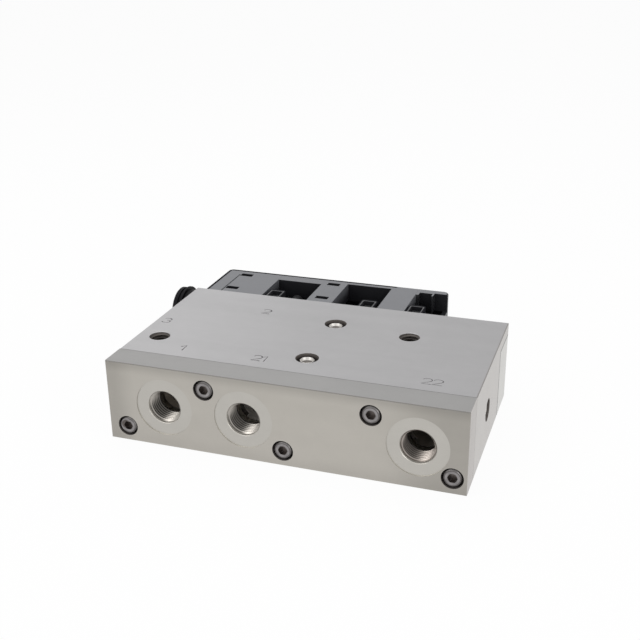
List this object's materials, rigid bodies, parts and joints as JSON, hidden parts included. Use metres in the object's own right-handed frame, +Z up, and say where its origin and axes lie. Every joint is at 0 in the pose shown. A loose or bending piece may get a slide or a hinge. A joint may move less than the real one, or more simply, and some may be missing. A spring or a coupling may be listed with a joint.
{
  "type": "solenoid valve block",
  "caption": "Machined manifold block with threaded ports in a bolted front plate, solenoid spool valves inside and a moulded electrical housing with a bayonet connector behind.",
  "frame": {"origin": "centre of the aluminium block's underside", "axes": "+X along the block, away from the connector, +Y from the port face to the housing, +Z up"},
  "size_m": [0.1903, 0.1392, 0.04],
  "materials": {
    "machined_aluminium": "fine milled and blasted",
    "screw_steel": "dull grey plated",
    "bright_steel": "turned bright",
    "spring_steel": "wound wire",
    "seal_rubber": "matt black",
    "contact_brass": "tinned brass",
    "copper_wire": "enamelled copper",
    "bobbin_plastic": "moulded",
    "coil_plastic": "moulded black",
    "connector_plastic": "moulded black",
    "housing_plastic": "moulded black, fine grain"
  },
  "bodies": {
    "block": {"bobbin_1": "bobbin_plastic", "bobbin_2": "bobbin_plastic", "bobbin_3": "bobbin_plastic", "coil_cover_1": "coil_plastic", "coil_cover_2": "coil_plastic", "coil_cover_3": "coil_plastic", "coil_nuts": "bright_steel", "connector_body": "connector_plastic", "connector_nut": "connector_plastic", "connector_pins": "contact_brass", "connector_seal": "seal_rubber", "contact_strips": "contact_brass", "front_gasket": "seal_rubber", "front_plate": "machined_aluminium", "front_plate_screws": "screw_steel", "gallery_plugs": "bright_steel", "housing_gasket": "seal_rubber", "housing_lid": "housing_plastic", "housing_screws": "screw_steel", "housing_shell": "housing_plastic", "main_block": "machined_aluminium", "pole_tube_1": "bright_steel", "pole_tube_2": "bright_steel", "pole_tube_3": "bright_steel", "pole_tube_seals": "seal_rubber", "rear_gasket": "seal_rubber", "rear_plate": "machined_aluminium", "rear_plate_screws": "screw_steel", "spool_spring_1": "spring_steel", "spool_spring_2": "spring_steel", "spool_spring_3": "spring_steel", "winding_1": "copper_wire", "winding_2": "copper_wire", "winding_3": "copper_wire"},
    "valve_1": {"spool_1": "bright_steel", "push_pin_1": "bright_steel", "armature_1": "bright_steel"},
    "valve_2": {"spool_2": "bright_steel", "push_pin_2": "bright_steel", "armature_2": "bright_steel"},
    "valve_3": {"spool_3": "bright_steel", "push_pin_3": "bright_steel", "armature_3": "bright_steel"}
  },
  "joints": [
    {"name": "valve_1_travel", "type": "slide", "parent": "block", "child": "valve_1", "axis": [0, -1, 0], "range_m": [0, 0.0025], "stiffness_N_per_m": 1500, "springref_m": -0.001, "deforming": ["spool_spring_1"]},
    {"name": "valve_2_travel", "type": "slide", "parent": "block", "child": "valve_2", "axis": [0, -1, 0], "range_m": [0, 0.0025], "stiffness_N_per_m": 1500, "springref_m": -0.001, "deforming": ["spool_spring_2"]},
    {"name": "valve_3_travel", "type": "slide", "parent": "block", "child": "valve_3", "axis": [0, -1, 0], "range_m": [0, 0.0025], "stiffness_N_per_m": 1500, "springref_m": -0.001, "deforming": ["spool_spring_3"]}
  ]
}
